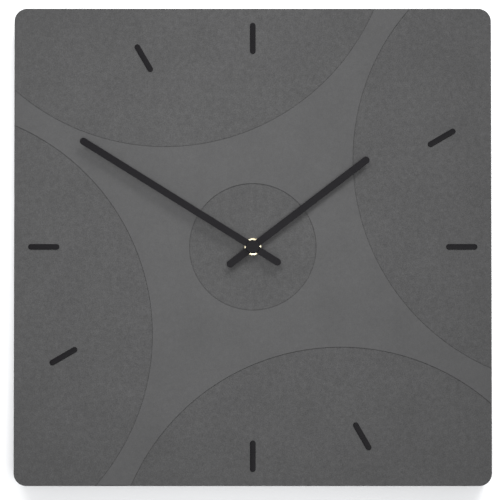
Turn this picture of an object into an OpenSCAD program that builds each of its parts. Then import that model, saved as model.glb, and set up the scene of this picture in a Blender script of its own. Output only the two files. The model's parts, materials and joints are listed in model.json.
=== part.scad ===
// Square wall clock: a board of dyed MDF with inlaid hour bars, two straight
// hands and a battery quartz movement let into the back.
// Frame: the hands turn about the Y axis through the origin, the wall is the
// plane y = 0, the dial faces -Y and 12 o'clock is +Z.

/* [Board] */
// Width and height of the square board
board_size = 300; // [280:1:400]
// Thickness of the board
board_depth = 19; // [19:0.5:30]
// Radius of the board's four corners
board_corner = 8; // [2:0.5:30]
// Radius of the rounded front edge
edge_radius = 1; // [0.4:0.1:3]
// Board left in front of the movement's pocket
web_depth = 2.5; // [2:0.1:5]

/* [Dial pattern] */
// Radius of the four large arcs
arc_radius = 143.3; // [110:0.1:160]
// Distance from the hands to the centre of each arc
arc_distance = 213.3; // [190:0.1:240]
// Clockwise turn of the first arc from 12 o'clock
arc_turn = -15; // [-45:1:45]
// Radius of the round field in the middle
disc_radius = 40; // [20:0.5:60]
// Depth of the fields below the star between them
field_drop = 0.3; // [0.1:0.05:0.8]
// Width of the groove round each field
groove_width = 0.45; // [0.3:0.05:2]
// Depth of the groove below the field
groove_drop = 0.15; // [0.1:0.05:0.8]

/* [Hour bars] */
// Width of an hour bar
bar_width = 3.5; // [2:0.1:8]
// Length of an hour bar, with its round ends
bar_length = 19.6; // [10:0.1:35]
// Depth of the slot that an hour bar sits in
bar_seat = 2.5; // [1:0.1:5]
// How far a bar stands out of the field
bar_proud = 0.5; // [0.2:0.05:2]
// Gap from the board's edge to the bars at 12, 3, 6 and 9
straight_bar_gap = 8.95; // [5:0.05:30]
// What the other four bars keep short of the board's half width
slanted_bar_gap = 3.05; // [2:0.05:30]

/* [Hands] */
// From the axis to the tip of the minute hand
minute_reach = 127.1; // [60:0.1:140]
// From the axis to the end of the minute hand's tail
minute_tail = 20.4; // [8:0.1:40]
// Width of the minute hand
minute_width = 4.4; // [3:0.1:8]
// From the axis to the tip of the hour hand
hour_reach = 91.6; // [40:0.1:120]
// From the axis to the end of the hour hand's tail
hour_tail = 20; // [8:0.1:40]
// Width of the hour hand
hour_width = 4.5; // [3:0.1:8]
// Thickness of both blades
hand_sheet = 0.5; // [0.3:0.05:1]
// Clockwise angle of the minute hand from 12
minute_angle = 301.9; // [0:0.1:360]
// Clockwise angle of the hour hand from 12
hour_angle = 52.6; // [0:0.1:360]

/* [Shafts and hardware] */
// Diameter of the minute shaft
minute_shaft = 3.5; // [3:0.1:4.5]
// Wall of the hour tube
tube_wall = 0.73; // [0.5:0.01:1.2]
// Wall of the threaded bushing, to the thread's crest
bushing_wall = 1.35; // [1.2:0.05:2]
// Pitch of the bushing's thread
thread_pitch = 0.75; // [0.5:0.05:1]
// Outer diameter of the round nut
nut_size = 11; // [11:0.1:20]
// Height of the round nut
nut_depth = 2; // [1.5:0.1:4]
// Chamfer on the nut's outer edge
nut_chamfer = 0.45; // [0.2:0.05:1.2]
// Diameter of the hub on the minute hand
hub_size = 8.6; // [7:0.1:12]
// Thickness of the rubber washer
washer_depth = 0.5; // [0.4:0.1:1.5]
// Diameter of the rubber washer
washer_size = 22; // [16:0.5:30]
// Running clearance of a shaft, on the radius
running_gap = 0.05; // [0.03:0.01:0.09]

/* [Movement] */
// From the hands' axis to the top of the case
case_above = 28; // [26:0.5:40]
// Side wall of the case
case_wall = 1.2; // [0.8:0.1:2]
// Front wall of the case
case_front_wall = 0.8; // [0.6:0.1:1.5]
// Thickness of the rear cover
cover_depth = 1; // [0.8:0.1:1.5]
// Diameter of the battery cell
cell_size = 14.5; // [13.5:0.1:18]
// Length of the battery cell, with its positive nub
cell_length = 50.5; // [44:0.1:62]
// Clearance round the cell
cell_gap = 0.25; // [0.1:0.05:0.6]
// Clearance between the case and its pocket in the board
pocket_gap = 1; // [0.5:0.1:4]
// Diameter of the setting knob
knob_size = 9.5; // [8:0.1:11]

/* [Gears] */
// Thickness of the wheels
wheel_depth = 0.8; // [0.6:0.05:1]
// Module of the motion work
motion_module = 0.46; // [0.42:0.01:0.48]
// Module of the third wheel's pinion and the centre wheel
centre_module = 0.24; // [0.22:0.01:0.25]
// Module of the step wheel's pinion and the second wheel
second_module = 0.24; // [0.22:0.01:0.25]
// Module of the rotor's pinion and the step wheel
rotor_module = 0.22; // [0.18:0.01:0.23]

/* [Keyhole hanger] */
// From the board's top edge to the middle of the hanger plate
hanger_drop = 40; // [35:1:70]
// Width of the hanger plate
hanger_width = 18; // [16:0.5:30]
// Length of the hanger plate, with its round ends
hanger_length = 50; // [48:1:80]
// Thickness of the hanger plate
hanger_sheet = 1.5; // [1:0.1:3]
// Diameter of the hole that the wall screw's head goes through
keyhole_size = 9; // [7:0.1:12]
// Width of the slot that the wall screw's neck rests in
keyhole_slot = 4.4; // [3:0.1:6]
// Travel from the hole to the top of the slot
keyhole_travel = 10; // [8:0.5:14]
// Depth of the space behind the plate for the screw's head
keyhole_room = 6; // [4:0.5:8]
// Shank diameter of the plate's two screws
screw_size = 3; // [2.5:0.1:4]
// Length of the plate's two screws
screw_length = 12; // [8:0.5:15]

/* [Hidden] */
BARS = [12, 2, 3, 5, 6, 8, 9, 11];
$fn = 64;
// a cut runs this far past the face it opens
cut = 1;

// Depths are measured from the wall towards the viewer, so a larger depth is nearer the front.
// The face is far enough from the wall for the cell to lie wholly inside the board.
cell_stack = web_depth + washer_depth + case_front_wall + 2 * cell_gap + cell_size;
face_depth = max(board_depth, cell_stack);
field_depth = face_depth - field_drop;
floor_depth = face_depth - web_depth;
case_face = floor_depth - washer_depth;
case_inside = case_face - case_front_wall;

// Radii of the nested shafts, each worked out from the one inside it
arbor_r = minute_shaft / 2;
tube_bore_r = arbor_r + running_gap;
tube_r = tube_bore_r + tube_wall;
bushing_bore_r = tube_r + running_gap + 0.02;
bushing_r = bushing_bore_r + bushing_wall;
thread_depth = 0.4 * thread_pitch;
hole_gap = 0.15;
flange_r = bushing_r + 1.2;
staff_r = 0.4;
staff_bore_r = staff_r + running_gap;

// Front stack, outwards from the nut
nut_face = field_depth + nut_depth;
bushing_end = nut_face + 0.7;
hour_bush_rear = bushing_end + 0.3;
bush_flange = 0.3;
rivet_depth = 0.3;
hour_blade_rear = hour_bush_rear + bush_flange;
hour_blade_front = hour_blade_rear + hand_sheet;
tube_end = hour_blade_front + rivet_depth + 0.1;
minute_bush_rear = tube_end + 0.4;
minute_blade_rear = minute_bush_rear + bush_flange;
minute_blade_front = minute_blade_rear + hand_sheet;
arbor_end = minute_blade_front + rivet_depth;
cap_face = arbor_end + 0.6;
bush_neck = 0.5;
bush_brim = 1;
rivet_brim = 0.25;

// Gear teeth: addendum, dedendum, and the share of the pitch that a tooth fills at root and tip
tooth_above = 0.9;
tooth_below = 1.2;
root_share = 0.58;
tip_share = 0.2;
cannon_teeth = 8;
motion_teeth = 32;
motion_pinion_teeth = 10;
hour_teeth = 30;
setting_teeth = 12;
centre_teeth = 64;
third_teeth = 60;
second_teeth = 60;
step_teeth = 60;
third_pinion_teeth = 8;
second_pinion_teeth = 8;
step_pinion_teeth = 10;
rotor_teeth = 12;

// Centre distances. The third wheel joins two wheels on the hands' axis, so its two meshes share one.
motion_distance = motion_module * (cannon_teeth + motion_teeth) / 2;
setting_distance = motion_module * (setting_teeth + motion_teeth) / 2;
third_distance = centre_module * (third_pinion_teeth + centre_teeth) / 2;
third_module = 2 * third_distance / (second_pinion_teeth + third_teeth);
step_distance = second_module * (step_pinion_teeth + second_teeth) / 2;
rotor_distance = rotor_module * (rotor_teeth + step_teeth) / 2;

// Arbor places [x, z], and the direction of each from its neighbour, anticlockwise from +X
motion_dir = 20;
setting_dir = 30;
third_dir = 165;
step_dir = 75;
rotor_dir = 135;
axis_at = [0, 0];
motion_at = axis_at + motion_distance * [cos(motion_dir), sin(motion_dir)];
setting_at = motion_at + setting_distance * [cos(setting_dir), sin(setting_dir)];
third_at = axis_at + third_distance * [cos(third_dir), sin(third_dir)];
step_at = axis_at + step_distance * [cos(step_dir), sin(step_dir)];
rotor_at = step_at + rotor_distance * [cos(rotor_dir), sin(rotor_dir)];

// Wheel levels: the depth of each wheel's rear face, stepping back from the case's inside face
level_gap = 0.8;
plate_sheet = 0.8;
hour_wheel_d = case_inside - level_gap - wheel_depth;
motion_wheel_d = hour_wheel_d - level_gap - wheel_depth;
centre_wheel_d = motion_wheel_d - level_gap - wheel_depth - 0.2;
plate_front = centre_wheel_d - 0.4;
plate_rear = plate_front - plate_sheet;
third_wheel_d = plate_rear - level_gap - wheel_depth;
second_wheel_d = third_wheel_d - level_gap - wheel_depth - 0.2;
step_wheel_d = second_wheel_d - level_gap - wheel_depth - 0.2;
arbor_body_r = 0.6;
pivot_r = 0.35;
pivot_hole_r = pivot_r + running_gap;
pivot_length = 0.5;
boss_r = 1.4;
boss_height = 0.7;
boss_face = step_wheel_d - 0.9;
cover_inside = boss_face - boss_height;
cover_face = cover_inside - cover_depth;

// The case: a gear room above, a battery bay below and a wall between them
room_below = 10.8;
partition = 1;
bay_height = cell_size + 2 * cell_gap;
bay_top = -room_below - partition;
bay_bottom = bay_top - bay_height;
case_bottom = bay_bottom - case_wall;
contact_room = 1.55;
well_wall = 0.8;
well_r = knob_size / 2 + 0.9;
knob_side = setting_at[0] + well_r + well_wall + 2.8;
room_half = max(cell_length / 2 + contact_room, knob_side);
case_half = room_half + case_wall;
// Pillars that hold the middle plate between the case and its cover
pillar_r = 1.2;
pillar_x = room_half - 3.4;
pillar_low = 2.2 - room_below;
pillar_high = 10;
room_top = case_above - case_wall;
case_corner = 3;
cell_z = (bay_top + bay_bottom) / 2;
cell_depth = case_inside - cell_gap - cell_size / 2;
cell_left = -cell_length / 2 + 0.3;
cell_right = cell_left + cell_length;
nub_length = 1.3;
nub_size = 5.5;
contact_sheet = 0.4;

// Motor: the coil lies along the top of the case
coil_size = 8;
coil_z = room_top - 0.5 - coil_size / 2;
coil_depth = plate_rear - 2;
coil_half = 8.5;
core_half = 13;
core_height = 4;
core_sheet = 1;
stator_sheet = 0.8;
stator_front = coil_depth - core_sheet / 2;
stator_leg = 4;
stator_leg_x = core_half - stator_leg / 2;
stator_hole_r = 3.1;
magnet_r = 2.6;
magnet_depth = 2.2;
magnet_d = stator_front - stator_sheet / 2 - magnet_depth / 2;

// Circuit board, in the corner right of the motor
circuit_left = 15;
circuit_right = cell_right - 0.3;
circuit_low = 12.5;
circuit_sheet = 0.8;
circuit_face = plate_rear - circuit_sheet;

// Setting knob in its well
knob_depth = 2.1;
knob_rear = cover_face - 0.5;
knob_front = knob_rear + knob_depth;
well_floor = knob_front + 0.3;
stem_r = 1.5;
stem_end_r = 1;

// Hanger
hanger_z = board_size / 2 - hanger_drop;
hanger_inset = 0.2;
keyhole_z = hanger_z - keyhole_travel / 2;
hanger_gap = 0.2;
hanger_screw_z = hanger_length / 2 - 6;
screw_head = 2 * screw_size;

// ---------- shapes ----------

// Fills an outline drawn in x and z between two depths.
module slab(near_wall, near_viewer) {
    rotate([90, 0, 0])
        translate([0, 0, near_wall])
            linear_extrude(near_viewer - near_wall)
                children();
}

// Turns a profile drawn as [radius, depth] about the Y axis.
module turned() {
    rotate([90, 0, 0])
        rotate_extrude()
            children();
}

// A round bar between two depths, at [x, z].
module rod(r, near_wall, near_viewer, at = axis_at) {
    slab(near_wall, near_viewer)
        translate(at)
            circle(r);
}

// A bar with round ends along z, from one end to the other.
module bar_outline(width, low, high) {
    translate([-width / 2, low + width / 2])
        square([width, high - low - width]);
    for (z = [low + width / 2, high - width / 2])
        translate([0, z])
            circle(width / 2);
}

// A rectangle with round corners, from its left and bottom to its right and top.
module rounded_outline(left, bottom, right, top, r) {
    translate([left + r, bottom])
        square([right - left - 2 * r, top - bottom]);
    translate([left, bottom + r])
        square([right - left, top - bottom - 2 * r]);
    for (x = [left + r, right - r], z = [bottom + r, top - r])
        translate([x, z])
            circle(r);
}

// Turns an outline clockwise, as seen from the front, by an angle from 12 o'clock.
module clockwise(angle) {
    rotate(-angle)
        children();
}

function polar(r, angle) = [r * cos(angle), r * sin(angle)];

// Points of a spur gear whose first tooth is centred on the angle phase.
function gear_points(teeth, size, phase) =
    let (pitch = 360 / teeth,
         root = size * (teeth / 2 - tooth_below),
         tip = size * (teeth / 2 + tooth_above))
    [for (i = [0 : teeth - 1])
        let (a = phase + i * pitch)
        for (p = [[root, -root_share], [tip, -tip_share], [tip, tip_share], [root, root_share]])
            polar(p[0], a + p[1] * pitch / 2)];

module gear(teeth, size, phase, near_wall, near_viewer, at = axis_at) {
    slab(near_wall, near_viewer)
        translate(at)
            polygon(gear_points(teeth, size, phase));
}

// Phase of a gear that meshes with one whose phase is known, in direction dir from that one.
function meshed(phase, teeth, other_teeth, dir) =
    dir + 180 - (phase - dir) * teeth / other_teeth + 180 / other_teeth;

function tip_radius(teeth, size) = size * (teeth / 2 + tooth_above);

// Phases at rest, each worked out from the gear it meshes with
cannon_phase = motion_dir;
motion_phase = meshed(cannon_phase, cannon_teeth, motion_teeth, motion_dir);
setting_phase = meshed(motion_phase, motion_teeth, setting_teeth, setting_dir);
hour_phase = 0;
motion_pinion_phase = meshed(hour_phase, hour_teeth, motion_pinion_teeth, motion_dir);
centre_phase = 0;
third_pinion_phase = meshed(centre_phase, centre_teeth, third_pinion_teeth, third_dir);
second_pinion_phase = 0;
third_phase = meshed(second_pinion_phase, second_pinion_teeth, third_teeth, third_dir);
second_phase = 0;
step_pinion_phase = meshed(second_phase, second_teeth, step_pinion_teeth, step_dir);
step_phase = 0;
rotor_phase = meshed(step_phase, step_teeth, rotor_teeth, rotor_dir);

// ---------- board ----------

// The section of the board's rim as [distance from the middle, depth], with its round front edge
module rim_section(reach) {
    square([reach, face_depth - edge_radius]);
    square([reach - edge_radius, face_depth]);
    translate([reach - edge_radius, face_depth - edge_radius])
        circle(edge_radius);
}

module board_blank() {
    straight = board_size / 2 - board_corner;
    for (turn = [0, 90])
        rotate([0, turn, 0])
            for (side = [0, 180])
                rotate([0, side, 0])
                    translate([0, 0, -straight])
                        linear_extrude(2 * straight)
                            mirror([0, 1])
                                rim_section(board_size / 2);
    for (corner = [0 : 3])
        rotate([0, 90 * corner, 0])
            translate([straight, 0, straight])
                rotate([90, 0, 0])
                    rotate_extrude(angle = 90)
                        rim_section(board_corner);
}

// The four arcs and the middle disc, each grown by an amount
module field_outlines(grow) {
    for (quarter = [0 : 3])
        clockwise(arc_turn + 90 * quarter)
            translate([0, arc_distance])
                circle(arc_radius + grow, $fn = 128);
    circle(disc_radius + grow, $fn = 128);
}

function bar_angle(hour) = 30 * hour;
function bar_outer(hour) =
    board_size / 2 - (hour % 3 == 0 ? straight_bar_gap : slanted_bar_gap);

module hour_bar_outline(hour) {
    clockwise(bar_angle(hour))
        bar_outline(bar_width, bar_outer(hour) - bar_length, bar_outer(hour));
}

module face_board() {
    screw_end = hanger_inset + screw_length + 0.5;
    color("dimgray")
        difference() {
            board_blank();
            slab(field_depth, face_depth + cut)
                field_outlines(0);
            slab(field_depth - groove_drop, face_depth + cut)
                difference() {
                    field_outlines(0);
                    field_outlines(-groove_width);
                }
            for (hour = BARS)
                slab(field_depth - bar_seat, face_depth + cut)
                    hour_bar_outline(hour);
            slab(-cut, floor_depth)
                rounded_outline(-case_half - pocket_gap, case_bottom - pocket_gap,
                    case_half + pocket_gap, case_above + pocket_gap, case_corner + pocket_gap);
            rod(bushing_r + hole_gap, 0, face_depth + cut);
            slab(-cut, hanger_inset + hanger_sheet)
                translate([0, hanger_z])
                    bar_outline(hanger_width + 2 * hanger_gap,
                        -hanger_length / 2 - hanger_gap, hanger_length / 2 + hanger_gap);
            slab(0, hanger_inset + hanger_sheet + keyhole_room)
                bar_outline(keyhole_size + 4, keyhole_z - keyhole_size / 2 - 2,
                    keyhole_z + keyhole_travel + keyhole_size / 2 + 2);
            for (side = [-1, 1])
                rod(screw_size / 2, 0, screw_end, [0, hanger_z + side * hanger_screw_z]);
        }
}

module hour_bar(hour) {
    color("black")
        slab(field_depth - bar_seat, field_depth + bar_proud)
            hour_bar_outline(hour);
}

// ---------- hands ----------

// A flat blade with round ends and a round boss, pierced for its bush
module blade(angle, reach, tail, width, boss_r, hole_r, near_wall) {
    color("black")
        slab(near_wall, near_wall + hand_sheet)
            clockwise(angle)
                difference() {
                    union() {
                        bar_outline(width, -tail, reach);
                        circle(boss_r);
                    }
                    circle(hole_r);
                }
}

// A turned brass bush: a flange behind the blade, a neck through it and a riveted edge in front
module hand_bush(bore_r, rear, blade_rear) {
    neck_r = bore_r + bush_neck;
    blade_front = blade_rear + hand_sheet;
    color("goldenrod")
        turned()
            polygon([
                [bore_r, rear],
                [bore_r + bush_brim, rear],
                [bore_r + bush_brim, blade_rear],
                [neck_r, blade_rear],
                [neck_r, blade_front],
                [neck_r + rivet_brim, blade_front],
                [neck_r, blade_front + rivet_depth],
                [bore_r, blade_front + rivet_depth]
            ]);
}

module hour_hand() {
    blade(hour_angle, hour_reach, hour_tail, hour_width, hub_size / 2 - 0.2,
        tube_r + bush_neck, hour_blade_rear);
}

module hour_hand_bush() {
    hand_bush(tube_r, hour_bush_rear, hour_blade_rear);
}

module minute_hand() {
    blade(minute_angle, minute_reach, minute_tail, minute_width, hub_size / 2 - 0.2,
        arbor_r + bush_neck, minute_blade_rear);
}

module minute_hand_bush() {
    hand_bush(arbor_r, minute_bush_rear, minute_blade_rear);
}

// A round cap over the riveted end of the minute hand's bush
module minute_hand_cap() {
    cap_r = hub_size / 2;
    cap_edge = 0.35;
    room_r = arbor_r + bush_neck + rivet_brim + 0.05;
    color("black")
        difference() {
            turned() {
                translate([0, minute_blade_front])
                    square([cap_r, cap_face - cap_edge - minute_blade_front]);
                translate([0, minute_blade_front])
                    square([cap_r - cap_edge, cap_face - minute_blade_front]);
                translate([cap_r - cap_edge, cap_face - cap_edge])
                    circle(cap_edge, $fn = 32);
            }
            rod(room_r, minute_blade_front - cut, arbor_end + 0.05);
        }
}

// ---------- shaft hardware ----------

// A brass tube with a flange held in the case and a thread for the nut
module threaded_bushing() {
    core_r = bushing_r - thread_depth;
    thread_start = case_face + 0.6;
    turns = floor((bushing_end - thread_start) / thread_pitch);
    color("goldenrod")
        turned()
            polygon(concat(
                [[bushing_bore_r, case_inside], [flange_r, case_inside],
                 [flange_r, case_face], [core_r, case_face], [core_r, thread_start]],
                [for (i = [0 : turns - 1], p = [[0, 0.1], [1, 0.45], [1, 0.55], [0, 0.9]])
                    [core_r + p[0] * thread_depth, thread_start + (i + p[1]) * thread_pitch]],
                [[core_r, bushing_end], [bushing_bore_r, bushing_end]]
            ));
}

module ring_nut() {
    nut_r = nut_size / 2;
    bore_chamfer = 0.25;
    inner_r = bushing_r + 0.02;
    color("goldenrod")
        turned()
            polygon([
                [inner_r, field_depth], [nut_r, field_depth],
                [nut_r, nut_face - nut_chamfer], [nut_r - nut_chamfer, nut_face],
                [inner_r + bore_chamfer, nut_face], [inner_r, nut_face - bore_chamfer]
            ]);
}

module rubber_washer() {
    color("black")
        slab(case_face, floor_depth)
            difference() {
                circle(washer_size / 2);
                circle(bushing_r + 0.1);
            }
}

// ---------- keyhole hanger ----------

module hanger_plate() {
    color("silver")
        difference() {
            slab(hanger_inset, hanger_inset + hanger_sheet)
                difference() {
                    translate([0, hanger_z])
                        bar_outline(hanger_width, -hanger_length / 2, hanger_length / 2);
                    translate([0, keyhole_z])
                        circle(keyhole_size / 2);
                    bar_outline(keyhole_slot, keyhole_z - keyhole_slot / 2,
                        keyhole_z + keyhole_travel + keyhole_slot / 2);
                }
            for (side = [-1, 1])
                translate([0, 0, hanger_z + side * hanger_screw_z])
                    turned()
                        countersunk_section(0.1);
        }
}

// Half the section of a countersunk head, grown by a clearance, and open to the back
module countersunk_section(grow) {
    head_r = screw_head / 2 + grow;
    shank_r = screw_size / 2 + grow;
    head_end = hanger_inset + (head_r - shank_r) * 0.8;
    polygon([
        [0, -cut], [head_r, -cut], [head_r, hanger_inset], [shank_r, head_end],
        [shank_r, hanger_inset + hanger_sheet + cut], [0, hanger_inset + hanger_sheet + cut]
    ]);
}

module hanger_screw() {
    head_r = screw_head / 2;
    shank_r = screw_size / 2;
    tip = hanger_inset + screw_length;
    head_start = hanger_inset + 0.05;
    difference() {
        turned()
            polygon([
                [0, head_start], [head_r, head_start],
                [shank_r, head_start + (head_r - shank_r) * 0.8],
                [shank_r, tip - 3], [0.3, tip], [0, tip]
            ]);
        for (turn = [0, 90])
            rotate([0, 45 + turn, 0])
                translate([-1.6, -head_start - 1, -0.3])
                    cube([3.2, 1 + cut, 0.6]);
    }
}

module hanger_screws() {
    color("silver")
        for (side = [-1, 1])
            translate([0, 0, hanger_z + side * hanger_screw_z])
                hanger_screw();
}

// ---------- movement case ----------

module case_outline(inset, bottom = case_bottom) {
    rounded_outline(-case_half + inset, bottom + inset, case_half - inset, case_above - inset,
        case_corner - inset);
}

// Each front post as [place, depth of its open end, radius of its bore]
FRONT_POSTS = [
    [motion_at, case_inside - 0.25, pivot_hole_r],
    [third_at, centre_wheel_d + wheel_depth + 0.4, pivot_hole_r],
    [setting_at, motion_wheel_d + wheel_depth + 0.5, arbor_body_r + running_gap]
];

// The open box, with the wall between the gear room and the battery bay
module case_shell() {
    strip_notch = 1.3;
    difference() {
        slab(cover_inside, case_face)
            case_outline(0);
        difference() {
            slab(cover_inside - cut, case_inside)
                case_outline(case_wall);
            slab(cover_inside - 2 * cut, case_inside + cut)
                translate([-case_half, bay_top])
                    square([2 * case_half, partition]);
        }
        rod(flange_r, case_inside - cut, case_face + cut);
        // notches that let the contact strips pass the partition
        for (side = [-1, 1])
            slab(cell_depth - 2, cell_depth + 2)
                translate([side * (room_half - strip_notch / 2) - strip_notch / 2, bay_top - cut])
                    square([strip_notch, partition + 2 * cut]);
    }
}

module case_front() {
    post_wall = 0.7;
    bore_end = case_inside + 0.3;
    color("dimgray")
        difference() {
            union() {
                case_shell();
                for (post = FRONT_POSTS)
                    rod(post[2] + post_wall, post[1], case_face - 0.1, post[0]);
                for (x = [-pillar_x, pillar_x], z = [pillar_low, pillar_high])
                    rod(pillar_r, plate_front, case_face - 0.1, [x, z]);
            }
            for (post = FRONT_POSTS)
                rod(post[2], post[1] - cut, bore_end, post[0]);
        }
}

// A bored boss on the inside of the rear cover, for an arbor's rear pivot
module rear_boss(at) {
    difference() {
        rod(boss_r, cover_inside - 0.1, boss_face, at);
        rod(pivot_hole_r, cover_inside, boss_face + cut, at);
    }
}

module case_rear() {
    color("dimgray")
        difference() {
            union() {
                slab(cover_face, cover_inside)
                    intersection() {
                        case_outline(0);
                        translate([-case_half, bay_top])
                            square([2 * case_half, case_above - bay_top]);
                    }
                for (at = [axis_at, third_at, step_at, rotor_at])
                    rear_boss(at);
                for (x = [-pillar_x, pillar_x])
                    rod(pillar_r, cover_face + 0.1, plate_rear, [x, pillar_low]);
                rod(well_r + well_wall, cover_face, well_floor + well_wall, setting_at);
            }
            rod(well_r, cover_face - cut, well_floor, setting_at);
            rod(stem_r + running_gap, cover_face - cut, well_floor + 2 * cut, setting_at);
        }
}

// The middle plate, with two posts behind it that the stator is fixed to
module mid_plate() {
    plate_gap = 0.1;
    coil_gap = 0.5;
    post_r = 1.2;
    color("gainsboro") {
        for (side = [-1, 1])
            rod(post_r, stator_front, plate_rear, [side * stator_leg_x, rotor_at[1]]);
        slab(plate_rear, plate_front)
            difference() {
                translate([-room_half + plate_gap, -room_below + contact_sheet + 0.4])
                    square([2 * (room_half - plate_gap),
                        room_top - plate_gap + room_below - contact_sheet - 0.4 - case_corner]);
                translate([-coil_half - coil_gap, coil_z - coil_size / 2 - coil_gap])
                    square([2 * (coil_half + coil_gap), coil_size + 2]);
                circle(arbor_body_r * 2 + running_gap);
                translate(third_at)
                    circle(tip_radius(third_pinion_teeth, centre_module) + 0.3);
                translate(motion_at)
                    circle(pivot_hole_r);
                translate(step_at)
                    circle(pivot_hole_r);
                translate(rotor_at)
                    circle(pivot_hole_r);
                translate(setting_at)
                    circle(stem_r + 0.1);
            }
    }
}

// ---------- battery and contacts ----------

// A bar turned about the line through the cell, from one x to another
module along_x(r, left, right, z, depth) {
    translate([left, -depth, z])
        rotate([0, 90, 0])
            cylinder(h = right - left, r = r);
}

module battery_cell() {
    rim = 0.4;
    color("darkslateblue") {
        along_x(cell_size / 2, cell_left + rim, cell_right - nub_length - rim, cell_z, cell_depth);
        along_x(cell_size / 2 - rim, cell_left, cell_right - nub_length, cell_z, cell_depth);
        along_x(nub_size / 2, cell_right - nub_length - rim, cell_right, cell_z, cell_depth);
    }
}

// A flat strip up the right wall, with a tab that lies on the circuit board
module contact_positive() {
    left = cell_right;
    tab_z = circuit_low + 2;
    tab_length = 4;
    color("silver") {
        slab(cell_depth - 2.5, cell_depth + 2.5)
            translate([left, cell_z - 4])
                square([contact_sheet, -cell_z + 4 + bay_top - 1]);
        slab(cell_depth - 1, cell_depth + 1)
            translate([left, bay_top - 2])
                square([contact_sheet, tab_z + 3 - bay_top + 2]);
        slab(circuit_face - contact_sheet, circuit_face)
            translate([left - tab_length + contact_sheet, tab_z])
                square([tab_length, 3]);
        slab(cell_depth - 1, circuit_face)
            translate([left, tab_z])
                square([contact_sheet, 3]);
    }
}

// A sprung leaf against the cell, and a strip under the gears to the circuit board
module contact_negative() {
    wall_x = -room_half + 0.1;
    strip_z = -room_below + 0.1;
    riser_x = circuit_left + 5;
    half_strip = 1;
    color("silver") {
        slab(cell_depth - 2.5, cell_depth + 2.5) {
            translate([wall_x, cell_z - 5])
                square([contact_sheet, -cell_z + 5 + bay_top - 1]);
            polygon([
                [wall_x, cell_z - 5],
                [cell_left, cell_z - 0.5],
                [cell_left, cell_z + 0.5],
                [wall_x + contact_sheet, cell_z + 4],
                [wall_x, cell_z + 4],
                [cell_left - contact_sheet, cell_z],
                [wall_x, cell_z - 4]
            ]);
        }
        slab(cell_depth - half_strip, cell_depth + half_strip) {
            translate([wall_x, bay_top - 2])
                square([contact_sheet, strip_z + contact_sheet - bay_top + 2]);
            translate([wall_x, strip_z])
                square([riser_x - wall_x, contact_sheet]);
        }
        slab(cell_depth - half_strip, circuit_face)
            translate([riser_x - contact_sheet, strip_z])
                square([contact_sheet, circuit_low + 2 - strip_z]);
    }
}

// ---------- electronics and motor ----------

module circuit_board() {
    color("darkgreen")
        slab(circuit_face, plate_rear)
            translate([circuit_left, circuit_low])
                square([circuit_right - circuit_left, room_top - case_corner - circuit_low]);
}

module quartz_crystal() {
    can_r = 1.05;
    can_length = 6.2;
    color("silver")
        translate([circuit_left + 2, -circuit_face + can_r, circuit_low + 3.6])
            cylinder(h = can_length, r = can_r);
}

module timing_chip() {
    color("black")
        slab(circuit_face - 1, circuit_face)
            translate([circuit_left + 4.4, circuit_low + 6.4])
                square([3.6, 3.6]);
}

module stator() {
    low = step_at[1] + tip_radius(step_pinion_teeth, second_module) + 0.6;
    high = coil_z - coil_size / 2 - 0.4;
    color("silver")
        slab(stator_front - stator_sheet, stator_front)
            difference() {
                union() {
                    translate([-core_half, low])
                        square([2 * core_half, high - low]);
                    for (side = [-1, 1])
                        translate([side * stator_leg_x - stator_leg / 2, low])
                            square([stator_leg, coil_z + core_height / 2 - low]);
                }
                translate(rotor_at)
                    circle(stator_hole_r);
            }
}

module coil_core() {
    color("silver")
        slab(coil_depth - core_sheet / 2, coil_depth + core_sheet / 2)
            translate([-core_half, coil_z - core_height / 2])
                square([2 * core_half, core_height]);
}

module coil_bobbin() {
    flange = 0.8;
    tube = 2.7;
    color("ivory")
        difference() {
            union() {
                along_x(tube, -coil_half, coil_half, coil_z, coil_depth);
                along_x(coil_size / 2, -coil_half, -coil_half + flange, coil_z, coil_depth);
                along_x(coil_size / 2, coil_half - flange, coil_half, coil_z, coil_depth);
            }
            slab(coil_depth - core_sheet / 2, coil_depth + core_sheet / 2)
                translate([-core_half, coil_z - core_height / 2])
                    square([2 * core_half, core_height]);
        }
}

module coil_winding() {
    tube = 2.7;
    outer = 3.6;
    end = coil_half - 0.8;
    color("peru")
        difference() {
            along_x(outer, -end, end, coil_z, coil_depth);
            along_x(tube, -end - cut, end + cut, coil_z, coil_depth);
        }
}

module rotor_magnet() {
    color("dimgray")
        difference() {
            rod(magnet_r, magnet_d, magnet_d + magnet_depth, rotor_at);
            rod(arbor_body_r, magnet_d - cut, magnet_d + magnet_depth + cut, rotor_at);
        }
}

// An arbor between two plates: a body, and a thinner pivot at each end
module arbor(at, rear, front, body_r = arbor_body_r) {
    rod(body_r, rear, front, at);
    rod(pivot_r, rear - pivot_length, front + pivot_length, at);
}

module rotor_pinion() {
    color("white") {
        arbor(rotor_at, boss_face + 0.1, plate_rear - 0.1);
        gear(rotor_teeth, rotor_module, rotor_phase, step_wheel_d - 0.1,
            step_wheel_d + wheel_depth + 0.1, rotor_at);
    }
}

// ---------- going train ----------

module step_wheel() {
    color("white") {
        arbor(step_at, boss_face + 0.1, plate_rear - 0.1);
        gear(step_teeth, rotor_module, step_phase, step_wheel_d,
            step_wheel_d + wheel_depth, step_at);
        gear(step_pinion_teeth, second_module, step_pinion_phase, step_wheel_d + wheel_depth,
            second_wheel_d + wheel_depth + 0.2, step_at);
    }
}

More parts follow.
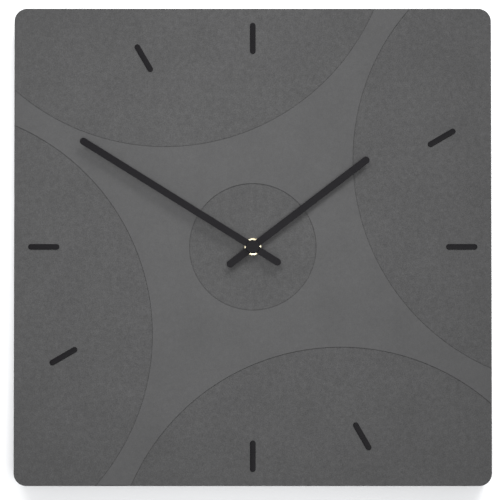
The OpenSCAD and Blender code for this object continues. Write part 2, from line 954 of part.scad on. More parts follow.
module second_wheel() {
    staff_end = floor_depth;
    color("white") {
        rod(pivot_r, boss_face - pivot_length + 0.1, boss_face + 0.1);
        rod(arbor_body_r, boss_face + 0.1, second_wheel_d);
        gear(second_teeth, second_module, second_phase, second_wheel_d,
            second_wheel_d + wheel_depth);
        gear(second_pinion_teeth, third_module, second_pinion_phase, second_wheel_d + wheel_depth,
            third_wheel_d + wheel_depth + 0.2);
        rod(staff_r, third_wheel_d + wheel_depth, staff_end);
    }
}

module third_wheel() {
    pinion_end = centre_wheel_d + wheel_depth + 0.2;
    color("white") {
        arbor(third_at, boss_face + 0.1, pinion_end);
        gear(third_teeth, third_module, third_phase, third_wheel_d,
            third_wheel_d + wheel_depth, third_at);
        rod(arbor_body_r, third_wheel_d, pinion_end, third_at);
        gear(third_pinion_teeth, centre_module, third_pinion_phase, plate_front + 0.1,
            pinion_end, third_at);
    }
}

module centre_wheel() {
    color("white")
        difference() {
            union() {
                gear(centre_teeth, centre_module, centre_phase, centre_wheel_d,
                    centre_wheel_d + wheel_depth);
                rod(2.2, centre_wheel_d - 0.1, centre_wheel_d + wheel_depth + 0.1);
            }
            rod(arbor_body_r * 2 + running_gap, centre_wheel_d - cut,
                centre_wheel_d + wheel_depth + cut);
        }
}

// The minute arbor: a hollow pivot behind, the cannon pinion, and the shaft that carries the hand
module minute_arbor() {
    pinion_rear = centre_wheel_d + wheel_depth + 0.2;
    pinion_front = hour_wheel_d - 0.2;
    color("gold")
        difference() {
            union() {
                rod(arbor_body_r * 2, plate_rear, pinion_rear);
                gear(cannon_teeth, motion_module, cannon_phase, pinion_rear, pinion_front);
                rod(arbor_r, pinion_front - 0.1, arbor_end);
            }
            rod(staff_bore_r, plate_rear - cut, floor_depth + 0.5);
        }
}

module motion_wheel() {
    color("white") {
        arbor(motion_at, plate_front + 0.1, case_inside - 0.35);
        gear(motion_teeth, motion_module, motion_phase, motion_wheel_d,
            motion_wheel_d + wheel_depth, motion_at);
        gear(motion_pinion_teeth, motion_module, motion_pinion_phase, motion_wheel_d + wheel_depth,
            hour_wheel_d + wheel_depth + 0.2, motion_at);
    }
}

module hour_wheel() {
    color("white")
        difference() {
            union() {
                gear(hour_teeth, motion_module, hour_phase, hour_wheel_d,
                    hour_wheel_d + wheel_depth);
                rod(tube_r, hour_wheel_d, tube_end);
            }
            rod(tube_bore_r, hour_wheel_d - cut, tube_end + cut);
        }
}

// ---------- setting work ----------

module setting_stem() {
    color("white") {
        rod(stem_end_r, knob_rear + 0.5, knob_front, setting_at);
        rod(stem_r, knob_front, motion_wheel_d, setting_at);
        gear(setting_teeth, motion_module, setting_phase, motion_wheel_d - 0.1,
            motion_wheel_d + wheel_depth + 0.1, setting_at);
        rod(arbor_body_r, motion_wheel_d, motion_wheel_d + wheel_depth + 1.2, setting_at);
    }
}

module setting_knob() {
    grips = 18;
    grip_r = 0.45;
    color("dimgray")
        difference() {
            slab(knob_rear, knob_front)
                translate(setting_at)
                    difference() {
                        circle(knob_size / 2);
                        for (i = [0 : grips - 1])
                            translate(polar(knob_size / 2 + 0.1, i * 360 / grips))
                                circle(grip_r, $fn = 16);
                    }
            rod(stem_end_r, knob_rear + 0.5, knob_front + cut, setting_at);
        }
}

face_board();
for (hour = BARS)
    hour_bar(hour);
hour_hand();
hour_hand_bush();
minute_hand();
minute_hand_bush();
minute_hand_cap();
ring_nut();
threaded_bushing();
rubber_washer();
hanger_plate();
hanger_screws();
case_front();
case_rear();
mid_plate();
battery_cell();
contact_positive();
contact_negative();
circuit_board();
quartz_crystal();
timing_chip();
stator();
coil_core();
coil_bobbin();
coil_winding();
rotor_magnet();
rotor_pinion();
step_wheel();
second_wheel();
third_wheel();
centre_wheel();
minute_arbor();
motion_wheel();
hour_wheel();
setting_stem();
setting_knob();
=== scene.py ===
import json
import math
import bmesh
import bpy
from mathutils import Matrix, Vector


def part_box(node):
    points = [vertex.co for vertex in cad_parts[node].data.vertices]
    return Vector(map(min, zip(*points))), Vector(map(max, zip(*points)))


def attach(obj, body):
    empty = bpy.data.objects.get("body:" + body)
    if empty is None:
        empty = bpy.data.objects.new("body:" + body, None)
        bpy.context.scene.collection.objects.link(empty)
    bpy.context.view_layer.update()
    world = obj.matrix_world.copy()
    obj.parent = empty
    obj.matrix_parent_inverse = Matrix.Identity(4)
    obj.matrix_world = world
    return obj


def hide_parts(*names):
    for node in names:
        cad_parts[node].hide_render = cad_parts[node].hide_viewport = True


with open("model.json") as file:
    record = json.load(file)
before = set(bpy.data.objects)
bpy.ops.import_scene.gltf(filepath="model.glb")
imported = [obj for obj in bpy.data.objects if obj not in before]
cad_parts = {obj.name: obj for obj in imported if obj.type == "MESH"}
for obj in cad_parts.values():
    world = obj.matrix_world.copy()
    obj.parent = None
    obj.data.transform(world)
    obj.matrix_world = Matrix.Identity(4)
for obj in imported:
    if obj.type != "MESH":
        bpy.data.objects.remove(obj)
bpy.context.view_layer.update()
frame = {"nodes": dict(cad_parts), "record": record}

nodes = frame["nodes"]
scene = bpy.context.scene
millimetre = 0.001
print("frame loaded,", len(nodes), "CAD nodes")


# ---- camera ----

cameraView = {
    "place": (-0.0024, -1.2, -0.02428),
    "turn": (91.0812, 0.0, -0.032),  # degrees
    "lens": 135.45,
    "sensor": 36.0,
}


def addCamera(view):
    lens = bpy.data.cameras.new("clock_camera")
    lens.lens = view["lens"]
    lens.sensor_width = view["sensor"]
    lens.clip_start = 0.05
    lens.clip_end = 20
    camera = bpy.data.objects.new("clock_camera", lens)
    camera.location = view["place"]
    camera.rotation_euler = [math.radians(a) for a in view["turn"]]
    scene.collection.objects.link(camera)
    scene.camera = camera


addCamera(cameraView)
scene.view_settings.view_transform = "Standard"
print("camera placed")


# ---- building material nodes ----

def addNode(tree, kind, **settings):
    node = tree.nodes.new(kind)
    for name, value in settings.items():
        setattr(node, name, value)
    return node


def mathNode(tree, operation, a, b=None, c=None, clamp=False):
    # a and b are sockets or numbers
    node = addNode(tree, "ShaderNodeMath", operation=operation, use_clamp=clamp)
    for index, value in enumerate((a, b, c)):
        if value is None:
            continue
        if isinstance(value, (int, float)):
            node.inputs[index].default_value = value
        else:
            tree.links.new(value, node.inputs[index])
    return node.outputs[0]


def smoothStep(tree, value, low, high):
    node = addNode(tree, "ShaderNodeMapRange", interpolation_type="SMOOTHSTEP")
    tree.links.new(value, node.inputs["Value"])
    node.inputs["From Min"].default_value = low
    node.inputs["From Max"].default_value = high
    return node.outputs["Result"]


def mixColour(tree, factor, a, b, blend="MIX"):
    node = addNode(tree, "ShaderNodeMix", data_type="RGBA", blend_type=blend, clamp_factor=True)
    for name, value in (("Factor_Float", factor), ("A_Color", a), ("B_Color", b)):
        socket = next(s for s in node.inputs if s.identifier == name)
        if isinstance(value, bpy.types.NodeSocket):
            tree.links.new(value, socket)
        elif isinstance(value, (int, float)):
            socket.default_value = value
        else:
            socket.default_value = (*value, 1.0)
    return next(s for s in node.outputs if s.identifier == "Result_Color")


def noiseAt(tree, vector, scale, detail=2.0, rough=0.5, stretch=None, turn=None):
    if stretch or turn:
        mapping = addNode(tree, "ShaderNodeMapping")
        tree.links.new(vector, mapping.inputs["Vector"])
        if stretch:
            mapping.inputs["Scale"].default_value = stretch
        if turn:
            mapping.inputs["Rotation"].default_value = turn
        vector = mapping.outputs[0]
    node = addNode(tree, "ShaderNodeTexNoise")
    tree.links.new(vector, node.inputs["Vector"])
    if isinstance(scale, bpy.types.NodeSocket):
        tree.links.new(scale, node.inputs["Scale"])
    else:
        node.inputs["Scale"].default_value = scale
    node.inputs["Detail"].default_value = detail
    node.inputs["Roughness"].default_value = rough
    return node.outputs["Fac"]


def newGroup(name, inputs, outputs):
    # inputs: name -> number, or None for a vector
    group = bpy.data.node_groups.new(name, "ShaderNodeTree")
    for label, value in inputs.items():
        kind = "NodeSocketVector" if value is None else "NodeSocketFloat"
        socket = group.interface.new_socket(label, in_out="INPUT", socket_type=kind)
        if value is not None:
            socket.default_value = value
    for label, kind in outputs.items():
        group.interface.new_socket(label, in_out="OUTPUT", socket_type=kind)
    ins = addNode(group, "NodeGroupInput")
    outs = addNode(group, "NodeGroupOutput")
    return group, ins.outputs, outs.inputs


# Fine uneven grain: a mask near the middle of 0..1 and a height for a bump
def makeFineGrain():
    group, ins, outs = newGroup(
        "fineGrain",
        {"Position": None, "Scale": 1500.0, "Mottle Scale": 60.0, "Contrast": 1.0},
        {"Grain": "NodeSocketFloat", "Mottle": "NodeSocketFloat", "Height": "NodeSocketFloat"},
    )
    fine = noiseAt(group, ins["Position"], ins["Scale"], 4.0, 0.65)
    broad = noiseAt(group, ins["Position"], ins["Mottle Scale"], 3.0, 0.55)
    spread = mathNode(group, "MULTIPLY", mathNode(group, "SUBTRACT", fine, 0.5), ins["Contrast"])
    grain = mathNode(group, "ADD", spread, 0.5, clamp=True)
    group.links.new(grain, outs["Grain"])
    group.links.new(broad, outs["Mottle"])
    swell = mathNode(group, "MULTIPLY", broad, 0.4)
    group.links.new(mathNode(group, "ADD", grain, swell), outs["Height"])
    return group


# Short wood fibres lying every way: a mask of pale flecks and one of dark flecks
def makeFibreFlecks():
    warpScale = 160
    warpReach = 0.004
    fibreTurns = (0.35, 1.4, 2.5)  # radians
    fibreStretch = (420, 1900, 1900)
    steepness = 9.0
    group, ins, outs = newGroup(
        "fibreFlecks",
        {"Position": None, "Cut": 0.66},
        {"Pale": "NodeSocketFloat", "Dark": "NodeSocketFloat"},
    )
    warp = addNode(group, "ShaderNodeTexNoise")
    group.links.new(ins["Position"], warp.inputs["Vector"])
    warp.inputs["Scale"].default_value = warpScale
    offset = addNode(group, "ShaderNodeVectorMath", operation="SCALE")
    group.links.new(warp.outputs["Color"], offset.inputs[0])
    offset.inputs["Scale"].default_value = warpReach
    moved = addNode(group, "ShaderNodeVectorMath", operation="ADD")
    group.links.new(ins["Position"], moved.inputs[0])
    group.links.new(offset.outputs[0], moved.inputs[1])
    pale = None
    dark = None
    for turn in fibreTurns:
        fibre = noiseAt(group, moved.outputs[0], 1.0, 2.0, 0.6, stretch=fibreStretch,
                        turn=(0, turn, 0))
        over = mathNode(group, "SUBTRACT", fibre, ins["Cut"])
        high = mathNode(group, "MULTIPLY", over, steepness, clamp=True)
        under = mathNode(group, "SUBTRACT", mathNode(group, "SUBTRACT", 1.0, ins["Cut"]), fibre)
        low = mathNode(group, "MULTIPLY", under, steepness, clamp=True)
        pale = high if pale is None else mathNode(group, "MAXIMUM", pale, high)
        dark = low if dark is None else mathNode(group, "MAXIMUM", dark, low)
    group.links.new(pale, outs["Pale"])
    group.links.new(dark, outs["Dark"])
    return group


# Rings a lathe leaves about the hands' axis
def makeTurnedRings():
    group, ins, outs = newGroup(
        "turnedRings",
        {"Position": None, "Pitch": 9000.0},
        {"Height": "NodeSocketFloat"},
    )
    parts = addNode(group, "ShaderNodeSeparateXYZ")
    group.links.new(ins["Position"], parts.inputs[0])
    square = [mathNode(group, "MULTIPLY", parts.outputs[k], parts.outputs[k]) for k in (0, 2)]
    radius = mathNode(group, "SQRT", mathNode(group, "ADD", square[0], square[1]))
    joined = addNode(group, "ShaderNodeCombineXYZ")
    group.links.new(radius, joined.inputs[0])
    group.links.new(parts.outputs[1], joined.inputs[1])
    group.links.new(noiseAt(group, joined.outputs[0], ins["Pitch"], 3.0, 0.6), outs["Height"])
    return group


fineGrain = makeFineGrain()
fibreFlecks = makeFibreFlecks()
turnedRings = makeTurnedRings()


def placeGroup(tree, group, position, **values):
    node = addNode(tree, "ShaderNodeGroup", node_tree=group)
    tree.links.new(position, node.inputs["Position"])
    for name, value in values.items():
        node.inputs[name.replace("_", " ")].default_value = value
    return node.outputs


def startMaterial(name, **shaderValues):
    material = bpy.data.materials.new(name)
    material.use_nodes = True
    tree = material.node_tree
    shader = tree.nodes["Principled BSDF"]
    for label, value in shaderValues.items():
        shader.inputs[label.replace("_", " ")].default_value = value
    place = addNode(tree, "ShaderNodeTexCoord").outputs["Object"]
    return material, tree, shader, place


def shadeColour(tree, colour, shade):
    grey = addNode(tree, "ShaderNodeCombineColor")
    for socket in grey.inputs[:3]:
        tree.links.new(shade, socket)
    return mixColour(tree, 1.0, colour, grey.outputs[0], "MULTIPLY")


def addBump(tree, shader, height, strength, distance):
    bump = addNode(tree, "ShaderNodeBump")
    bump.inputs["Strength"].default_value = strength
    bump.inputs["Distance"].default_value = distance
    tree.links.new(height, bump.inputs["Height"])
    tree.links.new(bump.outputs[0], shader.inputs["Normal"])


# ---- materials ----

boardFinish = {
    "star": (0.0504, 0.0501, 0.0505),
    "field": (0.0438, 0.0435, 0.0438),
    "side": (0.0405, 0.0400, 0.0400),
    # painted shade: the floors of the grooves are coloured darker than the field
    "groove": (0.0395, 0.0392, 0.0395),
    "faceDepth": 0.0176,  # from here outwards it is the dial's face
    "fieldDepth": 0.01862,  # beyond this depth lies the milled field
    "starDepth": 0.01885,  # and beyond this one the smooth star
    "smoothness": 0.62,  # share of the grain that the star has lost
    "roughness": 0.62,
    "grainTint": 0.9,
    "mottleTint": 0.22,
    "blotchScale": 330.0,
    "blotchTint": 0.50,
    "paleFleck": (0.085, 0.083, 0.080),
    "darkFleck": (0.024, 0.024, 0.025),
    "paleShare": 0.42,
    "darkShare": 0.40,
}


def dyedMdf(finish):
    material, tree, shader, place = startMaterial("dyedMdf", Specular_IOR_Level=0.10)
    grain = placeGroup(tree, fineGrain, place, Scale=1700.0, Mottle_Scale=38.0, Contrast=1.6)
    flecks = placeGroup(tree, fibreFlecks, place, Cut=0.68)
    parts = addNode(tree, "ShaderNodeSeparateXYZ")
    tree.links.new(place, parts.inputs[0])
    depth = mathNode(tree, "MULTIPLY", parts.outputs[1], -1.0)
    normal = addNode(tree, "ShaderNodeSeparateXYZ")
    tree.links.new(tree.nodes["Texture Coordinate"].outputs["Normal"], normal.inputs[0])
    frontal = mathNode(tree, "ABSOLUTE", normal.outputs[1])
    sideways = mathNode(tree, "SUBTRACT", 1.0, frontal, clamp=True)
    onStar = mathNode(tree, "GREATER_THAN", depth, finish["starDepth"])
    onField = mathNode(tree, "GREATER_THAN", depth, finish["fieldDepth"])
    # painted shade: below the field's depth, on the floors of the grooves and on the front
    # rounding, the colour is the darker shade
    colour = mixColour(tree, onField, finish["groove"], finish["field"])
    colour = mixColour(tree, onStar, colour, finish["star"])
    inside = mathNode(tree, "LESS_THAN", depth, finish["faceDepth"])
    side = mathNode(tree, "MAXIMUM", mathNode(tree, "GREATER_THAN", sideways, 0.5), inside)
    colour = mixColour(tree, side, colour, finish["side"])
    # the smooth face shows less grain than the milled fields and the sawn sides
    smooth = mathNode(tree, "MULTIPLY", onStar, finish["smoothness"])
    rawness = mathNode(tree, "SUBTRACT", 1.0, smooth)
    shade = mathNode(tree, "MULTIPLY", mathNode(tree, "SUBTRACT", grain["Grain"], 0.5), rawness)
    shade = mathNode(tree, "MULTIPLY_ADD", shade, finish["grainTint"], 1.0)
    broad = mathNode(tree, "SUBTRACT", grain["Mottle"], 0.5)
    broad = mathNode(tree, "MULTIPLY_ADD", broad, finish["mottleTint"], 1.0)
    shade = mathNode(tree, "MULTIPLY", shade, broad)
    blotch = mathNode(tree, "SUBTRACT", noiseAt(tree, place, finish["blotchScale"], 2.5, 0.6), 0.5)
    blotch = mathNode(tree, "MULTIPLY", blotch, rawness)
    blotch = mathNode(tree, "MULTIPLY_ADD", blotch, finish["blotchTint"], 1.0)
    colour = shadeColour(tree, colour, mathNode(tree, "MULTIPLY", shade, blotch))
    for mask in ("Pale", "Dark"):
        amount = mathNode(tree, "MULTIPLY", rawness, finish[mask.lower() + "Share"])
        amount = mathNode(tree, "MULTIPLY", flecks[mask], amount)
        colour = mixColour(tree, amount, colour, finish[mask.lower() + "Fleck"])
    tree.links.new(colour, shader.inputs["Base Color"])
    rough = mathNode(tree, "MULTIPLY_ADD", grain["Grain"], 0.16, finish["roughness"] - 0.06)
    tree.links.new(rough, shader.inputs["Roughness"])
    height = mathNode(tree, "MULTIPLY", grain["Height"], rawness)
    height = mathNode(tree, "ADD", height, mathNode(tree, "MULTIPLY", flecks["Pale"], 0.5))
    addBump(tree, shader, height, 0.35, 0.00006)
    return material


# A moulded or lacquered finish: one colour broken up by grain, with an uneven gloss
def grained(name, colour, roughness, scale=1800.0, mottle=70.0, contrast=1.0, tint=0.12,
            bump=0.3, relief=0.00002, metallic=0.0, **shaderValues):
    material, tree, shader, place = startMaterial(name, Metallic=metallic, **shaderValues)
    grain = placeGroup(tree, fineGrain, place, Scale=scale, Mottle_Scale=mottle, Contrast=contrast)
    both = mathNode(tree, "ADD", mathNode(tree, "MULTIPLY", grain["Grain"], 0.5),
                    mathNode(tree, "MULTIPLY", grain["Mottle"], 0.5))
    shade = mathNode(tree, "MULTIPLY_ADD", mathNode(tree, "SUBTRACT", both, 0.5), 2 * tint, 1.0)
    tree.links.new(shadeColour(tree, colour, shade), shader.inputs["Base Color"])
    rough = mathNode(tree, "MULTIPLY_ADD", grain["Mottle"], 0.16, roughness - 0.08)
    rough = mathNode(tree, "SUBTRACT", rough, 0.05)
    rough = mathNode(tree, "MULTIPLY_ADD", grain["Grain"], 0.10, rough)
    tree.links.new(rough, shader.inputs["Roughness"])
    addBump(tree, shader, grain["Height"], bump, relief)
    return material


brassFinish = {
    "bright": (0.66, 0.60, 0.44),
    "tarnished": (0.48, 0.39, 0.23),
    "roughness": 0.34,
    "ringPitch": 9000.0,
}


def turnedBrass(finish):
    material, tree, shader, place = startMaterial("turnedBrass", Metallic=1.0)
    grain = placeGroup(tree, fineGrain, place, Scale=900.0, Mottle_Scale=180.0, Contrast=1.0)
    rings = placeGroup(tree, turnedRings, place, Pitch=finish["ringPitch"])
    tarnish = smoothStep(tree, grain["Mottle"], 0.52, 0.75)
    colour = mixColour(tree, tarnish, finish["bright"], finish["tarnished"])
    tree.links.new(colour, shader.inputs["Base Color"])
    rough = mathNode(tree, "MULTIPLY_ADD", rings["Height"], 0.12, finish["roughness"])
    rough = mathNode(tree, "MULTIPLY_ADD", tarnish, 0.10, rough)
    tree.links.new(rough, shader.inputs["Roughness"])
    addBump(tree, shader, rings["Height"], 0.35, 0.000012)
    return material


steelFinish = {
    "cool": (0.43, 0.44, 0.455),
    "warm": (0.55, 0.54, 0.50),
    "roughness": 0.30,
    "brushing": (3200, 3200, 90),
}


def zincSteel(finish):
    material, tree, shader, place = startMaterial("zincSteel", Metallic=1.0)
    grain = placeGroup(tree, fineGrain, place, Scale=1400.0, Mottle_Scale=260.0, Contrast=1.4)
    brushed = noiseAt(tree, place, 1.0, 3.0, 0.6, stretch=finish["brushing"])
    colour = mixColour(tree, grain["Mottle"], finish["cool"], finish["warm"])
    tree.links.new(colour, shader.inputs["Base Color"])
    rough = mathNode(tree, "MULTIPLY_ADD", brushed, 0.20, finish["roughness"])
    rough = mathNode(tree, "MULTIPLY_ADD", grain["Mottle"], 0.16, rough)
    tree.links.new(rough, shader.inputs["Roughness"])
    addBump(tree, shader, brushed, 0.30, 0.00002)
    return material


cellFinish = {
    "sleeve": (0.028, 0.060, 0.105),
    "band": (0.34, 0.35, 0.36),
    "metal": (0.72, 0.72, 0.70),
    "negativeTip": 0.0006,
    "positiveTip": 0.0019,
    "bandEnd": 0.0125,  # both measured from the tip of the positive nub
    "stripeGap": 0.0016,
    "stripeHalf": 0.0004,
}


# The cell: a lacquered sleeve with a pale band at its positive end and bare metal at both tips
def cellSleeve(finish):
    low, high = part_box("battery_cell")
    material, tree, shader, place = startMaterial(
        "cellSleeve", Coat_Weight=0.5, Coat_Roughness=0.12)
    grain = placeGroup(tree, fineGrain, place, Scale=1500.0, Mottle_Scale=90.0, Contrast=0.8)
    parts = addNode(tree, "ShaderNodeSeparateXYZ")
    tree.links.new(place, parts.inputs[0])
    along = parts.outputs[0]
    tipStart = high[0] - finish["positiveTip"]
    bandStart = high[0] - finish["bandEnd"]
    onBand = mathNode(tree, "GREATER_THAN", along, bandStart)
    stripe = mathNode(tree, "COMPARE", along, bandStart - finish["stripeGap"], finish["stripeHalf"])
    onMetal = mathNode(tree, "MAXIMUM", mathNode(tree, "GREATER_THAN", along, tipStart),
                       mathNode(tree, "LESS_THAN", along, low[0] + finish["negativeTip"]))
    pale = mathNode(tree, "MAXIMUM", onBand, stripe)
    colour = mixColour(tree, pale, finish["sleeve"], finish["band"])
    colour = mixColour(tree, onMetal, colour, finish["metal"])
    shade = mathNode(tree, "MULTIPLY_ADD", grain["Mottle"], 0.16, 0.92)
    tree.links.new(shadeColour(tree, colour, shade), shader.inputs["Base Color"])
    metallic = mathNode(tree, "MAXIMUM", onMetal, mathNode(tree, "MULTIPLY", onBand, 0.6))
    tree.links.new(metallic, shader.inputs["Metallic"])
    rough = mathNode(tree, "MULTIPLY_ADD", grain["Grain"], 0.10, 0.27)
    tree.links.new(rough, shader.inputs["Roughness"])
    addBump(tree, shader, grain["Height"], 0.15, 0.00001)
    return material


boardMaterial = dyedMdf(boardFinish)
brassMaterial = turnedBrass(brassFinish)
steelMaterial = zincSteel(steelFinish)
cellMaterial = cellSleeve(cellFinish)
inlayMaterial = grained("blackInlay", (0.0046, 0.0042, 0.0050), 0.46, scale=1900.0, mottle=160.0,
                        contrast=1.5, tint=0.30, bump=0.35, relief=0.00003,
                        Specular_IOR_Level=0.050)
handMaterial = grained("blackHand", (0.0045, 0.0041, 0.0050), 0.42, scale=2300.0, mottle=120.0,
                       contrast=1.2, tint=0.22, bump=0.28, relief=0.00002,
                       Specular_IOR_Level=0.050)
rubberMaterial = grained("blackRubber", (0.018, 0.018, 0.018), 0.78, contrast=1.3)
caseMaterial = grained("blackCase", (0.021, 0.021, 0.023), 0.52, scale=2600.0, mottle=45.0,
                       contrast=1.8, tint=0.14, bump=0.6, relief=0.00003)
plateMaterial = grained("greyPlate", (0.42, 0.43, 0.42), 0.45)
stripMaterial = grained("nickelStrip", (0.70, 0.69, 0.65), 0.26, metallic=1.0,
                        mottle=210.0, tint=0.08)
laminateMaterial = grained("circuitLaminate", (0.020, 0.115, 0.050), 0.38,
                           mottle=300.0, tint=0.25)
epoxyMaterial = grained("blackEpoxy", (0.016, 0.016, 0.016), 0.35)
ironMaterial = grained("softIron", (0.46, 0.45, 0.44), 0.38, metallic=1.0, tint=0.16)
copperMaterial = grained("copperWire", (0.72, 0.30, 0.13), 0.30, metallic=1.0,
                         mottle=420.0, tint=0.16)
magnetMaterial = grained("blackMagnet", (0.055, 0.054, 0.053), 0.48, metallic=0.3)
gearMaterial = grained("whiteGear", (0.66, 0.65, 0.60), 0.42, mottle=90.0, tint=0.06)

slotMaterials = {
    "dyed_mdf": boardMaterial, "black_inlay": inlayMaterial, "black_hand": handMaterial,
    "brass": brassMaterial, "black_rubber": rubberMaterial, "zinc_steel": steelMaterial,
    "black_case": caseMaterial, "grey_plate": plateMaterial, "cell_sleeve": cellMaterial,
    "nickel_strip": stripMaterial, "circuit_laminate": laminateMaterial,
    "black_epoxy": epoxyMaterial, "soft_iron": ironMaterial, "copper_wire": copperMaterial,
    "black_magnet": magnetMaterial, "white_gear": gearMaterial,
}
for entry in frame["record"]["subparts"]:
    nodeSlots = nodes[entry["node"]].data.materials
    nodeSlots.clear()
    nodeSlots.append(slotMaterials[entry["material_slot"]])
print("materials made:", len(slotMaterials))


# ---- edges of the CAD nodes ----

# node -> width of its broken edge in mm
brokenEdges = {
    "face_board": 0.12, "hour_hand": 0.12, "minute_hand": 0.12, "minute_hand_cap": 0.0,
    "ring_nut": 0.05, "threaded_bushing": 0.03, "hour_hand_bush": 0.03, "minute_hand_bush": 0.03,
    "hanger_plate": 0.15, "hanger_screws": 0.06, "case_front": 0.2, "case_rear": 0.15,
    "battery_cell": 0.15, "setting_stem": 0.0, "contact_positive": 0.04,
    "contact_negative": 0.04, "mid_plate": 0.08, "rubber_washer": 0.08, "circuit_board": 0.05,
    "quartz_crystal": 0.12, "timing_chip": 0.08, "stator": 0.05, "coil_core": 0.05,
    "coil_bobbin": 0.08, "rotor_magnet": 0.05, "minute_arbor": 0.03,
}


edgeRules = {
    "weld": 0.002 * millimetre,
    "flatWithin": 0.4,  # degrees
    "sharpFrom": 32.0,  # degrees
    "segments": 2,
}


def breakEdges(name, width, rules):
    piece = nodes[name]
    piece.data.polygons.foreach_set("use_smooth", [True] * len(piece.data.polygons))
    weld = piece.modifiers.new("weld", "WELD")
    weld.merge_threshold = rules["weld"]
    flat = piece.modifiers.new("flatFaces", "DECIMATE")
    flat.decimate_type = "DISSOLVE"
    flat.angle_limit = math.radians(rules["flatWithin"])
    if width:
        edge = piece.modifiers.new("brokenEdge", "BEVEL")
        edge.width = width * millimetre
        edge.segments = rules["segments"]
        edge.limit_method = "ANGLE"
        edge.angle_limit = math.radians(rules["sharpFrom"])
        edge.use_clamp_overlap = True
        edge.miter_outer = "MITER_ARC"
    even = piece.modifiers.new("evenShading", "WEIGHTED_NORMAL")
    even.keep_sharp = True
    even.weight = 60


for name, width in brokenEdges.items():
    breakEdges(name, width, edgeRules)
print("edges broken:", len(brokenEdges))


# ---- pieces made by Geometry Nodes ----

def startTree(name, inputs):
    # inputs: name -> (socket type, value)
    tree = bpy.data.node_groups.new(name, "GeometryNodeTree")
    tree.interface.new_socket("Geometry", in_out="INPUT", socket_type="NodeSocketGeometry")
    for label, (kind, value) in inputs.items():
        socket = tree.interface.new_socket(label, in_out="INPUT", socket_type=kind)
        if kind != "NodeSocketMaterial":
            socket.default_value = value
    tree.interface.new_socket("Geometry", in_out="OUTPUT", socket_type="NodeSocketGeometry")
    return tree, addNode(tree, "NodeGroupInput").outputs


def endTree(tree, geometry, material):
    realized = addNode(tree, "GeometryNodeRealizeInstances")
    tree.links.new(geometry, realized.inputs[0])
    dressed = addNode(tree, "GeometryNodeSetMaterial")
    tree.links.new(realized.outputs[0], dressed.inputs["Geometry"])
    tree.links.new(material, dressed.inputs["Material"])
    out = addNode(tree, "NodeGroupOutput")
    tree.links.new(dressed.outputs[0], out.inputs[0])


def scatterOn(tree, points, shape, position, turn):
    # puts the shape on every point, at a position and turn worked out from its index
    placed = addNode(tree, "GeometryNodeSetPosition")
    tree.links.new(points, placed.inputs["Geometry"])
    tree.links.new(position, placed.inputs["Position"])
    copies = addNode(tree, "GeometryNodeInstanceOnPoints")
    tree.links.new(placed.outputs[0], copies.inputs["Points"])
    tree.links.new(shape, copies.inputs["Instance"])
    if turn is not None:
        spin = addNode(tree, "FunctionNodeEulerToRotation")
        tree.links.new(turn, spin.inputs[0])
        tree.links.new(spin.outputs[0], copies.inputs["Rotation"])
    return copies.outputs[0]


def joinXyz(tree, x=0.0, y=0.0, z=0.0):
    node = addNode(tree, "ShaderNodeCombineXYZ")
    for socket, value in zip(node.inputs, (x, y, z)):
        if isinstance(value, (int, float)):
            socket.default_value = value
        else:
            tree.links.new(value, socket)
    return node.outputs[0]


def pointRow(tree, count):
    row = addNode(tree, "GeometryNodeMeshLine", mode="OFFSET")
    tree.links.new(count, row.inputs["Count"])
    row.inputs["Offset"].default_value = (0, 0, 0)
    return row.outputs[0], addNode(tree, "GeometryNodeInputIndex").outputs[0]


# Hour bars: pairs a quarter turn apart, the second of each pair 60 degrees on
def makeDialMarksTree():
    tree, ins = startTree("dialMarks", {
        "Count": ("NodeSocketInt", 8), "Straight Reach": ("NodeSocketFloat", 0.141),
        "Slanted Reach": ("NodeSocketFloat", 0.147), "Length": ("NodeSocketFloat", 0.02),
        "Material": ("NodeSocketMaterial", None)})
    points, index = pointRow(tree, ins["Count"])
    second = mathNode(tree, "MODULO", index, 2.0)
    quarter = mathNode(tree, "FLOOR", mathNode(tree, "MULTIPLY", index, 0.5))
    angle = mathNode(tree, "ADD", mathNode(tree, "MULTIPLY", quarter, math.pi / 2),
                     mathNode(tree, "MULTIPLY", second, math.pi / 3))
    spare = mathNode(tree, "SUBTRACT", ins["Slanted Reach"], ins["Straight Reach"])
    outer = mathNode(tree, "ADD", ins["Straight Reach"], mathNode(tree, "MULTIPLY", spare, second))
    middle = mathNode(tree, "SUBTRACT", outer, mathNode(tree, "MULTIPLY", ins["Length"], 0.5))
    place = joinXyz(tree, mathNode(tree, "MULTIPLY", mathNode(tree, "SINE", angle), middle), 0.0,
                    mathNode(tree, "MULTIPLY", mathNode(tree, "COSINE", angle), middle))
    endTree(tree, scatterOn(tree, points, ins["Geometry"], place, joinXyz(tree, 0.0, angle, 0.0)),
            ins["Material"])
    return tree


# Copies of a shape evenly round an axis along Y
def makeRoundRowTree():
    tree, ins = startTree("roundRow", {
        "Count": ("NodeSocketInt", 24), "Radius": ("NodeSocketFloat", 0.004),
        "Centre": ("NodeSocketVector", (0, 0, 0)), "Material": ("NodeSocketMaterial", None)})
    points, index = pointRow(tree, ins["Count"])
    angle = mathNode(tree, "DIVIDE", mathNode(tree, "MULTIPLY", index, 2 * math.pi), ins["Count"])
    across = mathNode(tree, "MULTIPLY", mathNode(tree, "SINE", angle), ins["Radius"])
    upward = mathNode(tree, "MULTIPLY", mathNode(tree, "COSINE", angle), ins["Radius"])
    ring = joinXyz(tree, across, 0.0, upward)
    place = addNode(tree, "ShaderNodeVectorMath", operation="ADD")
    tree.links.new(ring, place.inputs[0])
    tree.links.new(ins["Centre"], place.inputs[1])
    endTree(tree, scatterOn(tree, points, ins["Geometry"], place.outputs[0],
                            joinXyz(tree, 0.0, angle, 0.0)), ins["Material"])
    return tree


